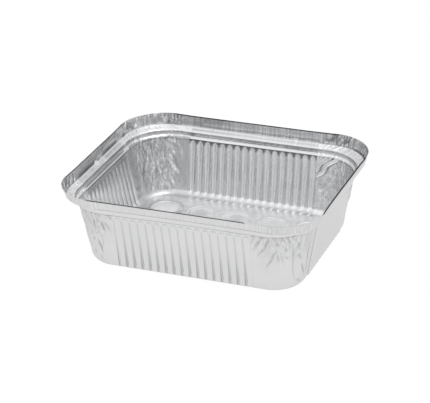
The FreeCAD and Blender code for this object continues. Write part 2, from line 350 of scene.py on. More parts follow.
WR = np.zeros((NC, NR))         # wrinkles, mm outward
PAINTED_LIGHT_IN = np.zeros((NC, NR))    # painted light seen from the food side: above 0 painted shade, up to 1 near-black; below 0 painted highlight
PAINTED_LIGHT_OUT = np.zeros((NC, NR))   # painted shade seen from outside, in the same way
GATHER = np.zeros((NC, NR))     # 0 smooth foil to 1 fully gathered
GATHER_OUT = np.zeros((NC, NR)) # the same for outside, where it also scales the painted shade of the thin fold lines
ROW = np.arange(NR)
wall_rows = ROW >= R_WALL
rim_rows = zz > 38.25
for corner in range(4):
    m = np.where(CORNER == corner)[0]
    s = S[m]
    z = np.tile(zz, (len(m), 1))
    amount = np.interp(s, *GATHER_WALL[corner])
    q_ = s / (1 + 0.036 * (33 - z)) + 0.55 * gnoise(s / 4.0, z / 6.0, 11 + corner)
    q_ = q_ + 0.25 * gnoise(s / 1.5, z / 2.5, 91 + corner)
    field = 0.19 * ridged(q_ / 2.2, z / 8.0, 21 + corner) * smooth(-5, 26, z)
    field += 0.15 * ridged(q_ / 3.8 + 5.2, z / 7.0, 31 + corner)
    field += 0.085 * ridged(q_ / 1.15 + 2.0, z / 3.6, 41 + corner) * (0.4 + 0.6 * smooth(10, 30, z))
    field += 0.13 * gnoise(s / 5.5, z / 7.0, 51 + corner)
    field = field * amount
    # painted shade along the sharp crease lines of the gathered foil
    lines = 0.55 * amount * np.clip(ridged(q_ / 2.2, z / 8.0, 21 + corner) - 0.45, 0, 1) * smooth(4, 26, z)
    lines = lines + 0.35 * amount * np.clip(ridged(q_ / 3.8 + 5.2, z / 7.0, 31 + corner) - 0.5, 0, 1)
    dark_in, dark_out = 0.6 * lines, 0.40 * lines * smooth(8, 26, z)
    for points_, width, depth in CREASES[corner]:
        field += crease(s, z, points_, width, depth * (1.35 if depth > 0 else 1.0))
        # painted shade in the inward creases; painted highlight on the outward ones, seen from the food side
        mark_ = crease(s, z, points_, width * 0.62, depth)
        if depth < 0:
            dark_out = dark_out + 1.05 * np.abs(mark_)
            dark_in = dark_in + (0.8 if corner in (1, 2) else 0.3) * np.abs(mark_)
        else:
            dark_in = dark_in - 1.1 * np.abs(mark_)
    if corner == 1:
        p_ = s + 0.9 * (z - 32.2) + 0.45 * gnoise(s / 3.5, z / 3.5, 181) - 0.9 * np.sin((z - 25.5) * 0.75)
        crest = sum(h_ * np.exp(-((p_ - c_) / w_) ** 2) for c_, w_, h_ in ((6.4, 1.1, 0.7), (10.4, 1.15, 1.5), (13.9, 0.9, 0.8), (16.5, 0.8, 1.0), (18.9, 0.75, 0.9), (20.9, 0.7, 0.8)))
        zone_ = smooth(4.5, 8, p_) * smooth(22.6, 21.0, s) * smooth(13, 23, z) * smooth(6, 11, s)
        field = field * (1 - 0.7 * zone_) + 0.58 * zone_ * (crest - 0.45)
        # painted highlights on the crests of these pleats, painted shade between them and in two dark lines
        dark_in = dark_in * (1 - 0.7 * zone_) + zone_ * (0.50 - 1.7 * crest + 0.55 * np.exp(-((p_ - 12.3) / 0.6) ** 2) + 0.45 * np.exp(-((p_ - 8.4) / 0.7) ** 2))
    fade = smooth(34.0, 32.2, z) * smooth(-0.5, 3.5, z) * np.where(ROW >= R_FIL, np.clip(nrm_out, 0, 1), 1.0)
    WR[m] += np.where(wall_rows, field * fade, 0)
    PAINTED_LIGHT_IN[m] += np.where(wall_rows, dark_in * fade, 0)
    PAINTED_LIGHT_OUT[m] += np.where(wall_rows, dark_out * smooth(36.2, 35.2, z) * smooth(-0.5, 2.5, z), 0)
    GATHER[m] = np.where(wall_rows, np.clip(amount, 0, 1) * fade * (1 - 0.8 * zone_ if corner == 1 else 1.0), 0)
    amount = np.interp(s, *GATHER_RIM[corner])
    lean = s + 0.12 * (z - 41) + 0.5 * gnoise(s / 3.0, z / 5.0, 61 + corner)
    field = 0.27 * ridged(lean / 2.1, z / 9.0, 71 + corner) + 0.16 * ridged(lean / 1.0, z / 5.0, 81 + corner) - 0.15
    edge_keep = smooth(37.4, 39.4, z) * (0.45 + 0.55 * smooth(44.4, 43.2, z))
    WR[m] += np.where(rim_rows, field * amount * edge_keep, 0)
    # painted shade along the rim's crinkle lines
    lines = amount * np.clip(ridged(lean / 2.1, z / 9.0, 71 + corner) - 0.3, 0, 1) + 0.5 * amount * np.clip(ridged(lean / 1.0, z / 5.0, 81 + corner) - 0.4, 0, 1)
    PAINTED_LIGHT_IN[m] += np.where(rim_rows, 1.0 * lines * edge_keep, 0)
    PAINTED_LIGHT_OUT[m] += np.where(rim_rows, 0.22 * lines * edge_keep, 0)
    low_rim = (~rim_rows) & (ROW < R_WALL)
    WR[m] += np.where(low_rim, (0.15 * ridged(s / 1.7, z / 6.0, 101 + corner) + 0.06 * gnoise(s / 0.8, z / 2.0, 111 + corner)) * (0.2 + amount), 0)
    GATHER[m] = np.maximum(GATHER[m], np.where(ROW < R_WALL, np.clip(amount, 0, 1) * np.where(rim_rows, 1, 0.6), 0))
    GATHER_OUT[m] = GATHER[m] * np.where(ROW < R_WALL, 0.35, 0.10 + 0.60 * smooth(14, 29, z))

# straight sides: the faint unevenness of thin foil, and the ledge's small dents
PAINTED_EDGE_SHADE = np.zeros((NC, NR))
for side in range(4):
    m = np.where((CORNER < 0) & (SIDE == side))[0]
    u = U[m][:, None] + 0 * zz[None, :]
    z = np.tile(zz, (len(m), 1))
    zone = ZONE_LONG if side % 2 == 0 else ZONE_SHORT
    ends = smooth(zone + 0.5, zone - 6, np.abs(u))
    wavy = 0.13 * gnoise(u / 19.0, z / 17.0, 121 + side) + 0.01 * gnoise(u / 6.0, z / 9.0, 131 + side)
    WR[m] += np.where(wall_rows, wavy * smooth(33.2, 29, z) * smooth(0, 6, z) * ends, 0)
    rim = 0.10 * gnoise(u / 14.0, z / 12.0, 141 + side) + 0.035 * gnoise(u / 3.5, z / 6.0, 151 + side)
    rim += np.where(rim_rows, 0, 0.03 * gnoise(u / 1.9, z / 2.4, 161 + side))
    WR[m] += np.where(wall_rows, 0, rim * ends)


def tick(side, u0, width, depth, z_lo, z_hi):
    """A small crosswise dent in the rim."""
    m = np.where((SIDE == side) & (CORNER < 0))[0]
    u = U[m][:, None]
    WR[m] += depth * np.exp(-((u - u0) / width) ** 2) * smooth(z_lo - 0.5, z_lo + 0.5, zz) * smooth(z_hi + 0.5, z_hi - 0.5, zz)


for u0, depth in ((35.2, -0.22), (-1.4, -0.16), (-17.0, -0.2), (-24.2, -0.22), (-31.2, -0.2)):
    tick(2, u0, 0.8, depth, 33.0, 38.4)
tick(2, -17.0, 1.6, 0.14, 37.0, 44.0)
# distance down the section, and where its bends are
run_ = np.concatenate([[0], np.cumsum(np.hypot(*(prof[1:] - prof[:-1]).T))])


def bend_at(point):
    return run_[int(np.argmin(np.hypot(inset - point[0], zz - point[1])))]


B_FOOT, B_INNER, B_STEP, B_SHOULDER = bend_at((1.9, 38.2)), bend_at(LEDGE_INNER), bend_at(STEP_FOOT), bend_at(SHOULDER)


def line(at, width, strength):
    return strength * np.exp(-((run_ - at) / width) ** 2)


# painted shade and painted highlights along the bends, seen from the food side
PAINTED_LIGHT_IN += (line(B_FOOT + 0.15, 0.42, 0.50) + line(B_FOOT + 1.05, 0.32, -0.55) + line(B_INNER - 0.55, 0.30, -0.50)
            + line(B_INNER + 0.75, 0.42, 0.45) + line(B_SHOULDER - 0.35, 0.30, -0.35) + line(B_SHOULDER + 0.75, 0.35, 0.45))[None, :]
ledge_rows = (smooth(B_FOOT + 0.4, B_FOOT + 0.8, run_) * smooth(B_INNER - 0.1, B_INNER - 0.5, run_))[None, :]
# painted highlight and shade on the ledge round the corners, broken up by noise
for corner, base_ in ((1, -0.50), (2, -0.35), (3, -0.10)):
    m = np.where(CORNER == corner)[0]
    s_ = S[m][:, :1]
    PAINTED_LIGHT_IN[m] += ledge_rows * (base_ + 1.1 * gnoise(s_ / 1.0, run_[None, :] / 5.0, 182 + corner))
    if corner == 1:
        # painted shade along the flange foot and in patches on the flange
        PAINTED_LIGHT_IN[m] += line(B_FOOT - 0.05, 0.50, 0.95)[None, :] * smooth(7.0, 2.0, s_) * smooth(-20.0, -16.5, s_)
        PAINTED_LIGHT_IN[m] += (run_ < B_FOOT)[None, :] * 0.75 * np.clip(gnoise(s_ / 1.3, run_[None, :] / 9.0, 188), 0, None) * smooth(-1.0, 1.5, s_) * smooth(12.0, 9.0, s_)
    if corner == 3:
        # painted highlight on the ledge
        PAINTED_LIGHT_IN[m] -= 1.1 * ledge_rows * np.exp(-((s_ + 12) / 4.0) ** 2)
    if corner == 2:
        # a painted shade spot at the flange foot, a painted highlight lower down, a little painted shade on the wall
        # and a painted shade band at the shoulder
        PAINTED_LIGHT_IN[m] += 1.0 * np.exp(-((s_ - 15.5) / 1.3) ** 2) * np.exp(-((run_[None, :] - B_FOOT - 0.2) / 1.0) ** 2)
        PAINTED_LIGHT_IN[m] -= 1.2 * np.exp(-((s_ - 17.5) / 1.2) ** 2) * (smooth(B_FOOT + 1.0, B_FOOT + 2.0, run_) * smooth(B_SHOULDER + 1.5, B_SHOULDER, run_))[None, :]
        PAINTED_LIGHT_IN[m] += np.where(wall_rows, 0.15, 0)[None, :]
        PAINTED_LIGHT_IN[m] += 0.8 * (smooth(B_SHOULDER - 0.85, B_SHOULDER - 0.55, run_) * smooth(B_SHOULDER + 0.3, B_SHOULDER, run_))[None, :]
# back side: painted shade on the step, over the flange's inner face (streaked, darker to the left) and in a band below
# the flange foot
step_rows = ((run_ > B_INNER + 0.6) & (run_ < B_STEP + 0.1))[None, :]
flange_rows = (run_ < B_FOOT - 0.1)[None, :]
m = np.where((SIDE == 2) & (CORNER < 0))[0]
u = -U[m][:, None] + 0 * zz[None, :]
PAINTED_LIGHT_IN[m] += np.where(step_rows, 0.32 + 0.50 * gnoise(u / 1.3, zz / 1.6, 171), 0)
PAINTED_LIGHT_IN[m] += np.where(flange_rows, 0.10 + 0.22 * gnoise(u / 1.1, zz / 14.0, 172) + 0.20 * gnoise(u / 3.5, zz / 30.0, 173) + 0.16 * smooth(-12, -22, u), 0)
PAINTED_LIGHT_IN[m] += line(B_FOOT + 2.1, 0.9, 1.0)[None, :] * (0.14 + 0.24 * smooth(-5, -25, u))
# the left flange is pushed in along two shallow scoops with a nick between them
m = np.where((SIDE == 3) & (CORNER < 0))[0]
y_ = -U[m][:, None]
plain_ = PAINTED_LIGHT_IN[m].copy()
scoop = np.sqrt(np.clip(1 - ((y_ - 16.5) / 11.5) ** 2, 0, None)) + np.sqrt(np.clip(1 - ((y_ + 13.0) / 14.5) ** 2, 0, None))
down_ = run_[None, :] - B_FOOT
# painted shade over the left flange, deeper in the scoops, on the ledge and step and in a band on the wall under the
# ledge, with a painted highlight at the nick
shade = 0.27 + 0.06 * gnoise(y_ / 2.2, zz / 9.0, 174) + 0.10 * smooth(0, 12, y_) * smooth(-5, -1.5, down_)
PAINTED_LIGHT_IN[m] += shade * smooth(0.2, -0.3, down_) * smooth(-6.1, -5.2, down_)
PAINTED_LIGHT_IN[m] += 0.62 * np.clip(scoop, 0, 1) * smooth(-0.2 - 2.2 * scoop, 0.2 - 1.3 * scoop, down_) * smooth(0.45, 0.15, down_) * smooth(0.05, 0.4, scoop)
PAINTED_LIGHT_IN[m] += np.where((down_ > 1.4) & (down_ < B_INNER - B_FOOT - 0.8), 0.26 * smooth(4, 9, y_) * smooth(27, 22, y_) + 0.30 * gnoise(y_ / 0.9, zz / 0.8, 175), 0)
PAINTED_LIGHT_IN[m] += np.where(step_rows, 0.22 + 0.25 * gnoise(y_ / 3.0, zz / 1.2, 176), 0)
PAINTED_LIGHT_IN[m] += (line(B_FOOT + 0.50, 0.35, 0.55) + line(B_INNER + 0.05, 0.40, 0.60))[None, :]
PAINTED_LIGHT_IN[m] += (smooth(28.7, 29.5, zz) * smooth(33.2, 32.4, zz))[None, :] * 0.42 * np.where(wall_rows, 1, 0)[None, :] + np.where(wall_rows, 0.08, 0)[None, :]
PAINTED_LIGHT_IN[m] -= 2.6 * np.exp(-((y_ + 3.0) / 1.15) ** 2) * smooth(-0.9, -0.3, down_) * smooth(2.9, 2.2, down_)
PAINTED_LIGHT_IN[m] += smooth(B_STEP - 0.3, B_STEP + 0.1, run_)[None, :] * smooth(B_SHOULDER + 0.05, B_SHOULDER - 0.25, run_)[None, :] * 0.80
PAINTED_LIGHT_IN[m] = plain_ + (PAINTED_LIGHT_IN[m] - plain_) * smooth(27.0, 23.5, np.abs(y_))      # it fades out towards the corners
WR[m] -= 0.30 * np.clip(scoop, 0, 1) * smooth(-4.5, -0.8, down_) * smooth(0.6, 0.0, down_)
tick(3, -3.0, 0.9, -0.35, 36.0, 39.4)

# ------------------------------------------------------------------ pressed pleats
def panel_height(du, z):
    """How far a pleated panel stands out of the wall, at du from its middle line."""
    k = np.clip((ARCH_Z - CHORD_TOP / 2 - z) / (ARCH_Z - CHORD_TOP / 2 - 3.0), 0, 1)
    chord = CHORD_TOP + (CHORD_FOOT - CHORD_TOP) * k
    rise = RISE_TOP + (RISE_FOOT - RISE_TOP) * k
    zc = ARCH_Z - CHORD_TOP / 2
    above = np.clip(z - zc, 0, None)
    rho = np.sqrt(du ** 2 + above ** 2) / (chord / 2)
    return rise * np.clip(1 - rho ** 3.6, 0, None)


def panel_gap(du, z):
    """0 on a panel's open middle, 1 in the gap round it."""
    k = np.clip((ARCH_Z - CHORD_TOP / 2 - z) / (ARCH_Z - CHORD_TOP / 2 - 3.0), 0, 1)
    chord = CHORD_TOP + (CHORD_FOOT - CHORD_TOP) * k
    above = np.clip(z - (ARCH_Z - CHORD_TOP / 2), 0, None)
    rho = np.sqrt(du ** 2 + above ** 2) / (chord / 2)
    return smooth(0.74, 0.98, rho)


# painted shade round the floor bend in corners 0, 2 and 3, a painted highlight in corner 1
for corner in range(4):
    m = np.where(CORNER == corner)[0]
    PAINTED_LIGHT_IN[m] += (np.where(ROW >= R_FIL, (0.30, -0.35, 0.05, 0.30)[corner], 0) * smooth(0.95, 0.75, nrm_out) * smooth(-0.05, 0.2, nrm_out))[None, :]

D = np.zeros((NC, NR))
foot = np.ones(NR)
for r in range(R_FIL, NR):
    # the panels fade out round the bend at the floor
    foot[r] = float(smooth(0.62, 0.99, nrm_out[r]))
for j, (kind, side, val, i, f) in enumerate(cols):
    if kind != "side":
        continue
    n = 17 if side % 2 == 0 else 12
    zone = n * PITCH / 2
    c = -zone + PITCH * (i + 0.5)
    # columns follow the panel's edge as it narrows
    k = np.clip((ARCH_Z - CHORD_TOP / 2 - zz) / (ARCH_Z - CHORD_TOP / 2 - 3.0), 0, 1)
    half = (CHORD_TOP + (CHORD_FOOT - CHORD_TOP) * k) / 2
    if f == -1.0 and val < c:
        du = -PITCH / 2 - (1 if side in (0, 1) else -1) * (0.03 + 0.34 * smooth(14, 3, zz))
    else:
        du = f / 0.97 * half if abs(f) > 0.9 else f * half
    u = c + du
    zp = zz + (3.5 * smooth(8, 22, zz) if side == 3 else 0)       # the left side's arches end a little lower
    x, y, nx, ny = side_point(side, u, None, hy if side % 2 == 0 else hx)
    wall = (np.arange(NR) >= R_WALL)
    X[j] = np.where(wall, x, X[j])
    Y[j] = np.where(wall, y, Y[j])
    D[j] = np.where(wall, panel_height(du, zp) * foot, 0)
    gap = np.where(wall, panel_gap(du, zp), 0) * smooth(34.0, 32.6, zp) * smooth(1.0, 3.4, zz)
    # painted shade in the gap round each panel
    PAINTED_LIGHT_IN[j] += (0.13 if side == 3 else 0.30) * gap * (1 - 0.30 * smooth(20, 6, zz))
    low_ = smooth(24, 10, zz)
    # painted highlights along the panels' sides; the middles a little lighter high up and darker near the foot
    PAINTED_LIGHT_IN[j] -= np.where(wall, {0.45: 0.55 + 0.50 * low_, 0.0: 0.12 - 0.34 * low_}.get(abs(f), 0.0 * low_), 0) * smooth(31.4, 30.4, zp) * smooth(1.5, 4.0, zz)
    if side == 3:
        # left side: a painted highlight dot at the top of each panel
        PAINTED_LIGHT_IN[j] -= np.where(wall, 2.2, 0) * np.exp(-(du / 1.0) ** 2) * np.exp(-((zz - 28.0) / 0.9) ** 2)
    # painted shade in the wedges between the panels' pointed tops
    point = 1.95 * np.clip(1 - (zp - 29.4) / 3.2, 0, 1) ** 0.8
    PAINTED_LIGHT_IN[j] += np.where(wall, (0.30 if side == 3 else 0.62) * smooth(point - 0.3, point + 0.3, np.abs(du)) * smooth(29.2, 30.4, zp) * smooth(32.9, 32.4, zp), 0)
    # painted shade round the bend at the floor, with a painted highlight on each panel's foot
    bend = np.where(np.arange(NR) >= R_FIL, 1.0, 0.0) * smooth(0.99, 0.86, nrm_out) * smooth(-0.05, 0.16, nrm_out)
    bead_ = np.exp(-(np.abs(du) / 1.25) ** 2) * smooth(0.45, 0.72, nrm_out)
    PAINTED_LIGHT_IN[j] += bend * (0.24 - 0.52 * bead_)
    # outside: painted dark lines between the panels and along the arch tops
    along = u if side in (0, 1) else -u
    line_at = c * (1 if side in (0, 1) else -1) + 2.22 - 0.34 * smooth(14, 3, zz)
    line_gap = np.minimum(np.abs(along - line_at), np.abs(along - line_at + PITCH))
    straight_part = np.where(zz > ARCH_Z - CHORD_TOP / 2, 0, 1)
    top_arc = np.clip(4 * gap * (1 - gap), 0, 1) * (1 - straight_part)
    line_out = np.exp(-(line_gap / 0.30) ** 2) * straight_part * smooth(0.6, 2.2, zz)
    PAINTED_LIGHT_OUT[j] += np.where(wall, (0.24 + 0.52 * smooth(24, 3, zz)) * line_out + 0.16 * top_arc, 0)
P3[..., 0], P3[..., 1] = X, Y

P3 = P3 + N3 * (D + WR)[..., None]
# thin sides give a little: the front flange is pressed in and up, the other edges lean in by a hair
px, py, pz = P3[..., 0].copy(), P3[..., 1].copy(), P3[..., 2].copy()
give = np.interp(px, [-72, -60, -40, -20, 0, 20, 40, 60, 72], [0, 0.40, 0.62, 0.80, 0.95, 1.0, 1.0, 0.8, 0]) * smooth(-24, -46, py)
P3[..., 1] += 1.7 * give * np.interp(pz, [0, 33, 44.4], [0, 0.85, 1.0])
P3[..., 2] += 1.3 * give * np.interp(pz, [0, 33, 38.2, 44.4], [0, 1.0, 1.0, 0])
lean = smooth(39.5, 44.4, pz) * 0.8
P3[..., 1] -= lean * smooth(52, 58, py) * smooth(60, 30, np.abs(px))
P3[..., 0] -= lean * np.where(px > 0, 1.0, -0.65) * smooth(65, 71, np.abs(px)) * smooth(48, 24, np.abs(py))
# the cut edge is turned in by a hair along the straight sides
straight = np.where(CORNER < 0, 1.0, smooth(11.5, 15.5, np.abs(S[:, 0])))
straight[(CORNER == 0) & (S[:, 0] < 0)] *= 0.0
# painted shade: a near-black band along the cut edge, taller and darker on the right side
PAINTED_EDGE_SHADE = straight[:, None] * smooth(43.45, 44.0, zz)[None, :]
PAINTED_EDGE_SHADE[(SIDE == 3) & (CORNER < 0)] = smooth(43.2, 43.9, zz)[None, :] * 0.8
PAINTED_EDGE_SHADE[(SIDE == 2) & (CORNER < 0)] *= (1 + 0.35 * smooth(10, 20, U[(SIDE == 2) & (CORNER < 0)]))[:, None]
right = (SIDE == 1) & (CORNER < 0) | (CORNER == 1) & (S[:, 0] < -15.5) | (CORNER == 0) & (S[:, 0] > 15.5)
PAINTED_EDGE_SHADE[right] = smooth(42.5, 43.2, zz)[None, :] * 1.4
turn = straight[:, None] * 0.20 * smooth(43.4, 44.4, zz)[None, :]
P3[..., 0] -= NX * turn
P3[..., 1] -= NY * turn
P3[..., 0] = np.clip(P3[..., 0], -HX, HX)
P3[..., 1] = np.clip(P3[..., 1], -HY, HY)
P3[..., 2] = np.clip(P3[..., 2], 0.0, HEIGHT)

# ------------------------------------------------------------------ faces of the wall and rim
used = {}
cells = []


def cell(c0, c1, r0, r1):
    cells.append((c0, c1, r0, r1))
    for c in (c0, c1):
        for r in (r0, r1):
            used[(c % NC, r)] = True


side_ranges = []
pos = 0
for side in range(4):
    n = (17 if side % 2 == 0 else 12) * 8
    side_ranges.append((pos, pos + n))
    pos = corner_ranges[side][1]
for side in range(4):
    s0, s1 = side_ranges[side]
    for c in range(s0, s1, 2):
        for r in range(R_WALL):
            cell(c, c + 2, r, r + 1)
    for c in range(s0, s1):
        for a, b in zip(rib_rows, rib_rows[1:]):
            if a >= R_WALL:
                cell(c, c + 1, a, b)
    s0, s1 = corner_ranges[side]
    for c in range(s0, s1):
        for r in range(NR - 1):
            cell(c, c + 1, r, r + 1)

# distance round the tray for each column, and down the section for each row
mid = 30
step_ = np.hypot(np.diff(np.append(X[:, mid], X[0, mid])), np.diff(np.append(Y[:, mid], Y[0, mid])))
ROUND = np.concatenate([[0], np.cumsum(step_)])
DOWN = np.concatenate([[0], np.cumsum(np.hypot(*(prof[1:] - prof[:-1]).T))])
uv_faces = []

index = {}
points = []
marks = []                      # (gather outside, painted edge shade, painted light outside, painted light inside, gather inside) of each point


def vid(c, r):
    key = (c % NC, r)
    if key not in index:
        index[key] = len(points)
        points.append(P3[key[0], r])
        marks.append((GATHER_OUT[key[0], r], PAINTED_EDGE_SHADE[key[0], r], PAINTED_LIGHT_OUT[key[0], r], PAINTED_LIGHT_IN[key[0], r], GATHER[key[0], r]))
    return index[key]


faces = []
for c0, c1, r0, r1 in cells:
    ring = [(c, r0) for c in range(c0, c1) if c == c0 or (c % NC, r0) in used]
    ring += [(c1, r) for r in range(r0, r1) if r == r0 or (c1 % NC, r) in used]
    ring += [(c, r1) for c in range(c1, c0, -1) if c == c1 or (c % NC, r1) in used]
    ring += [(c0, r) for r in range(r1, r0, -1) if r == r1 or (c0 % NC, r) in used]
    ring.reverse()
    faces.append([vid(c, r) for c, r in ring])
    uv_faces.append([(ROUND[c], DOWN[r]) for c, r in ring])

# ------------------------------------------------------------------ floor
RINGS = [(x, y) for y in (-26.5, 26.5) for x in (-43.0, -21.5, 0.0, 21.5, 43.0)]
RING_R, BEAD_R, BEAD_RISE = 8.6, 1.1, 0.45
edge = [vid(c, NR - 1) for c in range(NC)]
flat2 = [Vector((points[i][0], points[i][1])) for i in edge]
n_edge = len(flat2)
loop_edges = [(k, (k + 1) % n_edge) for k in range(n_edge)]
half_w = math.sqrt(BEAD_R ** 2 - (BEAD_R - BEAD_RISE) ** 2)
ring_r = [RING_R - half_w - 0.25, RING_R - half_w, RING_R - half_w * 0.55, RING_R, RING_R + half_w * 0.55,
          RING_R + half_w, RING_R + half_w + 0.25]
NA = 44
for x, y in RINGS:
    for rad in ring_r:
        for k in range(NA):
            a = 2 * math.pi * k / NA
            flat2.append(Vector((x + rad * math.cos(a), y + rad * math.sin(a))))
    for rad, m in ((6.0, 16), (3.4, 9), (0.0, 1)):
        for k in range(m):
            a = 2 * math.pi * (k + 0.5) / m
            flat2.append(Vector((x + rad * math.cos(a), y + rad * math.sin(a))))


def inside_floor(x, y, margin):
    bx, by, br = HX - prof[-1, 0] - margin, HY - prof[-1, 0] - margin, AXIS_WALL - prof[-1, 0] - margin
    ax, ay = abs(x), abs(y)
    if ax > bx or ay > by:
        return False
    dx, dy = ax - (bx - br), ay - (by - br)
    return not (dx > 0 and dy > 0 and math.hypot(dx, dy) > br)


# two rows inside the edge, thinning out, then an even spread
for d, step in ((0.5, 2), (1.3, 4), (2.6, 6)):
    for k in range(0, n_edge, step):
        v = flat2[k]
        j = k
        nx, ny = NX[j, -1], NY[j, -1]
        flat2.append(Vector((v.x - nx * d, v.y - ny * d)))
rng = np.random.RandomState(7)
g = 2.3
for iy in range(-20, 21):
    for ix in range(-26, 27):
        x = (ix + 0.5 * (iy % 2)) * g + rng.uniform(-0.35, 0.35)
        y = iy * g * 0.9 + rng.uniform(-0.35, 0.35)
        if not inside_floor(x, y, 4.0):
            continue
        if any(math.hypot(x - a, y - b) < RING_R + half_w + 1.1 for a, b in RINGS):
            continue
        flat2.append(Vector((x, y)))


def floor_painted_light(x, y):
    """Painted light on the tray's floor: painted highlights along the back edge of each pressed disc, inside one disc
    and in a smear on the right; painted shade in a line round the discs and inside some; and random tone.
    """
    f = 0.0
    for n_, (a, b) in enumerate(RINGS):
        d = math.hypot(x - a, y - b)
        far = ((x - a) * -0.30 + (y - b) * 0.95) / max(d, 0.1)      # towards the back of the disc
        f -= (1.7 if n_ > 5 else 0.95) * math.exp(-((d - RING_R + 2.3 + 0.6 * float(gnoise(x / 7.0, y / 7.0, 193))) / 0.85) ** 2) * float(smooth(0.1, 0.75, far + 0.5 * float(gnoise(x / 9.0, y / 9.0, 194))))
        f += float(smooth(RING_R - 2.8, RING_R - 4.6, d)) * (0 if n_ == 5 else 0.17 if n_ in (6, 7) else 0.03)
        f -= float(smooth(RING_R - 1.0, RING_R - 3.0, d)) * (1.35 if n_ == 5 else 0.0)
        f += (0.30 if n_ == 5 else 0.05) * math.exp(-((d - RING_R - 1.0) / 0.9) ** 2)
    f -= 1.0 * math.exp(-((x - 53.0 + 0.25 * (y - 22.0)) / 2.2) ** 2) * float(smooth(6.0, 14.0, y) * smooth(34.0, 27.0, y))
    f += 0.02 + 0.26 * float(gnoise(x / 4.5, y / 3.0, 191)) + 0.08 * float(gnoise(x / 1.6, y / 1.6, 192))
    return f


v2, e2, f2, ov, oe, of_ = delaunay_2d_cdt(flat2, loop_edges, [], 1, 1e-5)
# the triangulation may reorder its points, so each is matched to its source
remap = {}
for k, src in enumerate(ov):
    if src and src[0] < n_edge:
        remap[k] = edge[src[0]]
    else:
        remap[k] = len(points)
        points.append(np.array((v2[k].x, v2[k].y, 0.0)))
        marks.append((0.0, 0.0, 0.0, floor_painted_light(v2[k].x, v2[k].y), 0.0))
for f in f2:
    faces.append([remap[k] for k in reversed(f)])
    uv_faces.append([(v2[k].x + 800.0, v2[k].y + 400.0) for k in reversed(f)])
pts = np.array(points)
edge_set = set(edge)
floor_ids = np.array(sorted(set(remap.values()) - edge_set))


def floor_height(x, y):
    h = np.zeros_like(x)
    for a, b in RINGS:
        d = np.hypot(x - a, y - b) - RING_R
        m = np.abs(d) < BEAD_R
        bead = np.where(m, np.sqrt(np.clip(BEAD_R ** 2 - d ** 2, 0, None)) - (BEAD_R - BEAD_RISE), 0)
        h = np.maximum(h, bead)
        inside = np.hypot(x - a, y - b)
        h = np.maximum(h, 0.60 * smooth(RING_R - 0.3, RING_R - 4.2, inside + 0.9 * gnoise(x / 9.0, y / 9.0, 203)))
    keep = smooth(0.0, 9.0, np.minimum(HX - 13.2 - np.abs(x), HY - 13.2 - np.abs(y)))
    h += keep * (0.34 + 0.55 * gnoise(x / 13.0, y / 13.0, 201) + 0.10 * gnoise(x / 5.5, y / 5.5, 202))
    return np.clip(h, 0, None)


pts[floor_ids, 2] = floor_height(pts[floor_ids, 0], pts[floor_ids, 1])

# ------------------------------------------------------------------ one closed sheet with its real gauge
mesh = bpy.data.meshes.new("foil_tray_skin")
mesh.from_pydata((pts * MM).tolist(), [], faces)
mesh.update()
n_out = len(pts)
normals = np.zeros(n_out * 3, dtype=np.float32)
mesh.vertex_normals.foreach_get("vector", normals)
normals = normals.reshape(-1, 3)
# they should point out of the food space, the floor's pointing down; the mean z of the floor's normals is printed
print("floor normal z", normals[floor_ids, 2].mean(), "verts", n_out, "faces", len(faces))
inner_pts = pts - normals * FOIL
inner_pts[:, 2] = np.clip(inner_pts[:, 2], 0.0, HEIGHT)
all_pts = np.vstack([pts, inner_pts])
all_faces = [list(f) for f in faces] + [[i + n_out for i in reversed(f)] for f in faces]
top_loop = [vid(c, 0) for c in range(NC) if (c, 0) in used]
m = len(top_loop)
for k in range(m):
    a, b = top_loop[k], top_loop[(k + 1) % m]
    all_faces.append([a, b, b + n_out, a + n_out])
bpy.data.meshes.remove(mesh)
mesh = bpy.data.meshes.new("foil_tray_skin")
mesh.from_pydata((all_pts * MM).tolist(), [], all_faces)
mesh.update()
mesh.polygons.foreach_set("use_smooth", [True] * len(mesh.polygons))
uv_all = uv_faces + [list(reversed(f)) for f in uv_faces]
for k in range(m):
    x_ = ROUND[k * 2] if k * 2 < len(ROUND) else 0.0
    uv_all.append([(x_, 0), (x_ + 0.5, 0), (x_ + 0.5, -0.1), (x_, -0.1)])
layer = mesh.uv_layers.new(name="sheet_mm")
layer.data.foreach_set("uv", np.array([p for f in uv_all for p in f], np.float32).ravel())
marks_out = np.array(marks, np.float32)
marks_in = marks_out.copy()
marks_in[:, 2] = marks_out[:, 3]
marks_in[:, 1] = np.minimum(marks_in[:, 1], 1.1 * smooth(43.3, 44.1, pts[:, 2]))
marks_in[:, 0] = marks_out[:, 4]
marks_all = np.vstack([marks_out, marks_in])
for name, column in (("gather", 0), ("painted_edge_shade", 1), ("painted_light", 2)):
    attribute = mesh.attributes.new(name, "FLOAT", "POINT")
    attribute.data.foreach_set("value", np.ascontiguousarray(marks_all[:, column]))
tray = bpy.data.objects.new("foil_tray_skin", mesh)
bpy.context.scene.collection.objects.link(tray)
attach(tray, "root")
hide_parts("foil_tray")
tris = sum(len(p.vertices) - 2 for p in mesh.polygons)
print("triangles", tris)

